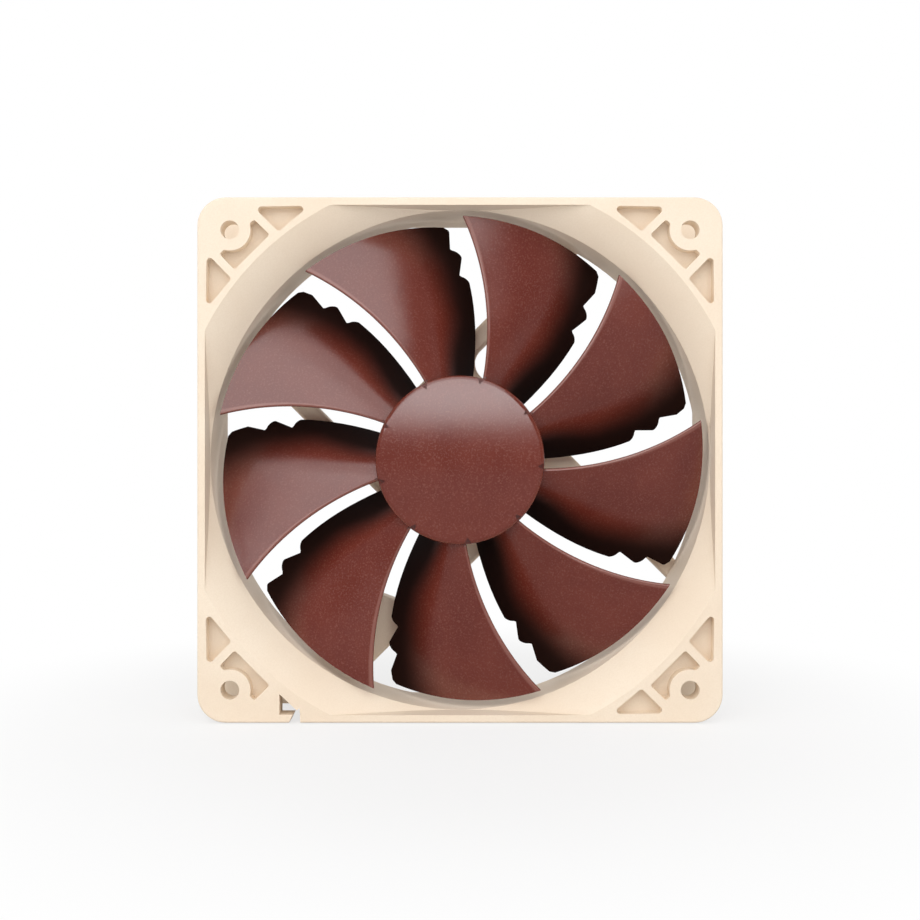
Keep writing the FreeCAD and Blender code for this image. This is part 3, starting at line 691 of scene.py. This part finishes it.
def hand_over(piece, material, replaced=()):
    """Gives a finished piece its finish, its body and the CAD nodes it stands for."""
    piece.data.materials.clear()
    piece.data.materials.append(material)
    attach(piece, "housing")
    if replaced:
        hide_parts(*replaced)
    print(piece.name, "has", len(piece.data.polygons), "faces")


# %% [markdown]
# ## Four wound coils
#
# Each stator arm is wound with enamelled copper wire, layer on layer. A true winding is one
# long helix, but its turns lie so close that a stack of closed loops looks the same and costs
# far fewer faces. One loop is a ring whose four quarters are pulled apart into a rounded
# rectangle. A row of loops is a layer, and the layers grow outwards by one wire each. The
# colour comes from the lacquer over the copper: clear, amber, and darker between the turns.

# %% Lacquered copper
def lacquered_copper():
    copper = Finish("lacquered_copper")
    batch = copper.noise(1.2, 3.0)
    scuffs = copper.step(copper.noise(0.35, 4.0), 0.6, 0.75)
    tint = copper.blend(batch, (0.66, 0.24, 0.085), (0.52, 0.165, 0.055))
    tint = copper.blend(scuffs * 0.5, tint, (0.82, 0.42, 0.20))
    return copper.surface(Base_Color=tint, Metallic=0.85, Roughness=0.20 + batch * 0.12, Coat_Weight=0.6,
                          Normal=copper.bump(batch, 0.01, 0.4))


copper_finish = lacquered_copper()
coil_nodes = sorted(name for name in nodes if name.startswith("coil_"))
dress(coil_nodes, copper_finish)

# %% One loop, one layer, one coil
WIRE_R = 0.16 * MM
WIRE_PITCH = 0.335 * MM
LAYERS = 4
TURNS_PER_LAYER = 12
COIL_INNER_R = 7.95 * MM
LOOP_HALF_WIDTH = 2.45 * MM
LOOP_CORNER_R = 0.5 * MM
POLE_ANGLE = 20.0
RING_STEPS = 16
WIRE_STEPS = 6
NEARLY_ZERO = WIRE_R / 100


def wire_loop(half_width, half_length, corner):
    """A ring pulled apart into a rounded rectangle that stands square to Z."""
    start_clean()
    bpy.ops.mesh.primitive_torus_add(major_segments=RING_STEPS, minor_segments=WIRE_STEPS,
                                     major_radius=corner, minor_radius=WIRE_R)
    loop = bpy.context.object
    bpy.ops.object.mode_set(mode="EDIT")
    for axis, reach in ((0, half_width - corner), (1, half_length - corner)):
        for side in (-1, 1):
            pick(loop, lambda co, axis=axis, side=side: co[axis] * side > NEARLY_ZERO)
            move = [0, 0, 0]
            move[axis] = side * reach
            bpy.ops.transform.translate(value=move)
    bpy.ops.object.mode_set(mode="OBJECT")
    return loop


def wound_coil(node, index):
    """The four layers of one coil, round the stator arm that its CAD node is on."""
    low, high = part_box(node)
    half_length = (high[1] - low[1]) / 2 - (LAYERS - 1) * WIRE_PITCH - WIRE_R - FIT
    layers = []
    for layer in range(LAYERS):
        grow = layer * WIRE_PITCH
        loop = wire_loop(LOOP_HALF_WIDTH + WIRE_R + grow, half_length + grow, LOOP_CORNER_R + grow)
        array(loop, TURNS_PER_LAYER - layer % 2, (0, 0, WIRE_PITCH))
        settle(loop, (0, 0, layer % 2 * WIRE_PITCH / 2))
        layers.append(loop)
    coil = join(layers, "wound_" + node)
    angle = math.radians(POLE_ANGLE + index * 360 / len(coil_nodes))
    reach = COIL_INNER_R + WIRE_R
    place = (reach * math.cos(angle), (low[1] + high[1]) / 2, reach * math.sin(angle))
    settle(coil, place, (0, math.radians(90) - angle, 0))
    bpy.ops.object.shade_smooth()
    hand_over(coil, copper_finish, [node])


for index, node in enumerate(coil_nodes):
    wound_coil(node, index)

# %% [markdown]
# ## The lamination stack
#
# The stator is a stack of thin stamped sheets, so its outer faces are ribbed. One sheet is a
# copy of the CAD core, merged into a whole mesh and pressed flat to one sheet's thickness. An
# array repeats it through the core's depth, with a hair of air between the sheets.

# %% Stamped sheets
SHEETS = 11
SHEET_AIR = 0.07
MERGE_DISTANCE = 0.001 * MM


def lamination_stack():
    start_clean()
    core = nodes["stator_core"]
    sheet = bpy.data.objects.new("lamination_stack", core.data.copy())
    bpy.context.collection.objects.link(sheet)
    bpy.context.view_layer.objects.active = sheet
    sheet.select_set(True)
    bpy.ops.object.mode_set(mode="EDIT")
    bpy.ops.mesh.select_all(action="SELECT")
    bpy.ops.mesh.remove_doubles(threshold=MERGE_DISTANCE)
    low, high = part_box("stator_core")
    pitch = (high[1] - low[1]) / SHEETS
    thin = (1 - SHEET_AIR) / SHEETS
    bpy.ops.transform.resize(value=(1, thin, 1), center_override=(0, low[1], 0))
    bpy.ops.object.mode_set(mode="OBJECT")
    array(sheet, SHEETS, (0, pitch, 0))
    hand_over(sheet, core_finish, ["stator_core"])


lamination_stack()

# %% [markdown]
# ## Solder joints
#
# Where a winding pin comes through the board it is soldered: a small bright cone whose sides
# are hollow, because the molten tin climbs the pin and thins out over the copper. A disc is
# extruded in a few short steps, each one narrower and taller than the last, and a subdivision
# surface rounds the steps off.

# %% Solder cones round the pins
PIN_COUNT = 4
PIN_ANGLE = POLE_ANGLE + 45
PIN_CIRCLE_R = 6.1 * MM
SOLDER_R = 1.05 * MM
SOLDER_SIDES = 20
SOLDER_STEPS = [(0.10, 0.80), (0.08, 0.74), (0.12, 0.80), (0.16, 0.90)]


def solder_cone(index):
    """One cone on the rear of the board, around the pin with that index."""
    start_clean()
    board_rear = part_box("circuit_board")[1][1]
    angle = math.radians(PIN_ANGLE + index * 360 / PIN_COUNT)
    bpy.ops.mesh.primitive_circle_add(vertices=SOLDER_SIDES, radius=SOLDER_R, fill_type="NGON")
    cone = bpy.context.object
    bpy.ops.object.mode_set(mode="EDIT")
    for rise, narrow in SOLDER_STEPS:
        bpy.ops.mesh.extrude_region_move(TRANSFORM_OT_translate={"value": (0, 0, rise * MM)})
        bpy.ops.transform.resize(value=(narrow, narrow, 1), center_override=(0, 0, 0))
    bpy.ops.mesh.select_all(action="SELECT")
    bpy.ops.mesh.normals_make_consistent(inside=False)
    bpy.ops.object.mode_set(mode="OBJECT")
    rounding = cone.modifiers.new("rounding", "SUBSURF")
    rounding.levels = 2
    rounding.render_levels = 2
    bpy.ops.object.modifier_apply(modifier=rounding.name)
    place = (PIN_CIRCLE_R * math.cos(angle), board_rear + FIT, PIN_CIRCLE_R * math.sin(angle))
    settle(cone, place, (math.radians(-90), 0, 0))
    bpy.ops.object.shade_smooth()
    return cone


solder = join([solder_cone(index) for index in range(PIN_COUNT)], "solder_joints")
hand_over(solder, tin_finish)

# %% [markdown]
# ## Studio
#
# The fan stands on a pale floor in front of a white background. One large soft light, the key,
# hangs in front and above, a little to the left: the blades on the left face it and shine, while
# those on the right turn away. A low strip under it is seen only in glossy surfaces, where it
# draws the clear lower border of the shine on the hub. A light straight above and one at each
# side brighten the mouth and the barrel. The side ones aren't seen in glossy surfaces, so no
# blade shines with them. Nothing bright stands behind the camera, so the middle of the hub keeps
# its colour.
#
# The background is white where the camera sees it. As a light it is strong behind the fan,
# where it brightens the barrel through the gaps, and weak in front, like a dark room.

# %% Lights
def area_light(name, place, size, power, shines=True, fills=True):
    """A soft rectangular light that faces the fan.

    One that doesn't shine isn't seen in glossy surfaces, and one that doesn't fill is seen only
    there."""
    data = bpy.data.lights.new(name, "AREA")
    data.shape = "RECTANGLE"
    data.size, data.size_y = size
    data.energy = power
    light = bpy.data.objects.new(name, data)
    light.location = place
    light.rotation_euler = (-Vector(place)).to_track_quat("-Z", "Y").to_euler()
    light.visible_glossy = shines
    light.visible_diffuse = fills
    bpy.context.collection.objects.link(light)


# %% Background
TURN_OVER = 0.6


def white_world(seen, ahead, behind):
    """White for the camera. As a light it is weak in front of the fan and strong behind it."""
    world = bpy.data.worlds.new("white")
    world.use_nodes = True
    bpy.context.scene.world = world
    tree = world.node_tree
    tree.nodes.clear()
    direction = tree.nodes.new("ShaderNodeTexCoord")
    parts = tree.nodes.new("ShaderNodeSeparateXYZ")
    lit = tree.nodes.new("ShaderNodeMapRange")
    lit.inputs["From Min"].default_value = -TURN_OVER
    lit.inputs["From Max"].default_value = TURN_OVER
    lit.inputs["To Min"].default_value = ahead
    lit.inputs["To Max"].default_value = behind
    path = tree.nodes.new("ShaderNodeLightPath")
    strength = tree.nodes.new("ShaderNodeMapRange")
    strength.inputs["To Max"].default_value = seen
    background = tree.nodes.new("ShaderNodeBackground")
    background.inputs["Color"].default_value = (1, 1, 1, 1)
    output = tree.nodes.new("ShaderNodeOutputWorld")
    tree.links.new(direction.outputs["Generated"], parts.inputs[0])
    tree.links.new(parts.outputs["Y"], lit.inputs["Value"])
    tree.links.new(path.outputs["Is Camera Ray"], strength.inputs["Value"])
    tree.links.new(lit.outputs[0], strength.inputs["To Min"])
    tree.links.new(strength.outputs[0], background.inputs["Strength"])
    tree.links.new(background.outputs[0], output.inputs["Surface"])


# %% Floor
FLOOR_SIZE = 12
FLOOR_GAP = 0.2 * MM
NEAR_WHITE = 0.7
FADE_STARTS = 60
FADE_ENDS = 150


def pale_floor():
    """A wide matt floor that turns, away from the fan, into the same white as the background.

    It throws its light back on the fan, but glossy surfaces see it dim, or the blades that lean
    downwards would shine with it."""
    bpy.ops.mesh.primitive_plane_add(size=FLOOR_SIZE, location=(0, 0, floor_z - FLOOR_GAP))
    floor = bpy.context.object
    floor.name = "floor"
    pale = Finish("pale_floor")
    shade = pale.noise(60.0, 2.0)
    tint = pale.blend(shade, (0.76, 0.76, 0.76), (0.80, 0.80, 0.80))
    matt = pale.shader(Base_Color=tint, Roughness=0.6)
    dim = pale.shader(Base_Color=(0.30, 0.30, 0.30, 1), Roughness=0.8, Specular_IOR_Level=0.0)
    white = pale.node("ShaderNodeEmission", {}, {"Color": (1, 1, 1, 1), "Strength": 1.0}).outputs[0]
    path = pale.node("ShaderNodeLightPath")
    distance = (pale.x * pale.x + pale.y * pale.y) ** 0.5
    away = NEAR_WHITE + (1 - NEAR_WHITE) * pale.step(distance, FADE_STARTS, FADE_ENDS)
    shown = pale.mixed(Signal(pale, path.outputs["Is Camera Ray"]) * away, matt, white)
    floor.data.materials.append(pale.finished(pale.mixed(path.outputs["Is Glossy Ray"], shown, dim)))


# %% Set the studio up
start_clean()
white_world(seen=1.0, ahead=0.10, behind=0.75)
area_light("key", (-0.13, -1.44, 0.93), (2.0, 1.36), 18.4)
area_light("strip", (0.0, -1.44, 0.24), (2.0, 0.16), 3.9, fills=False)
area_light("top", (0.0, -0.48, 1.52), (1.9, 1.1), 8.5)
area_light("left", (-1.28, -0.80, 0.35), (0.8, 0.8), 5.6, shines=False)
area_light("right", (1.28, -0.80, 0.35), (0.8, 0.8), 4.8, shines=False)
pale_floor()
print("lights:", len(bpy.data.lights))
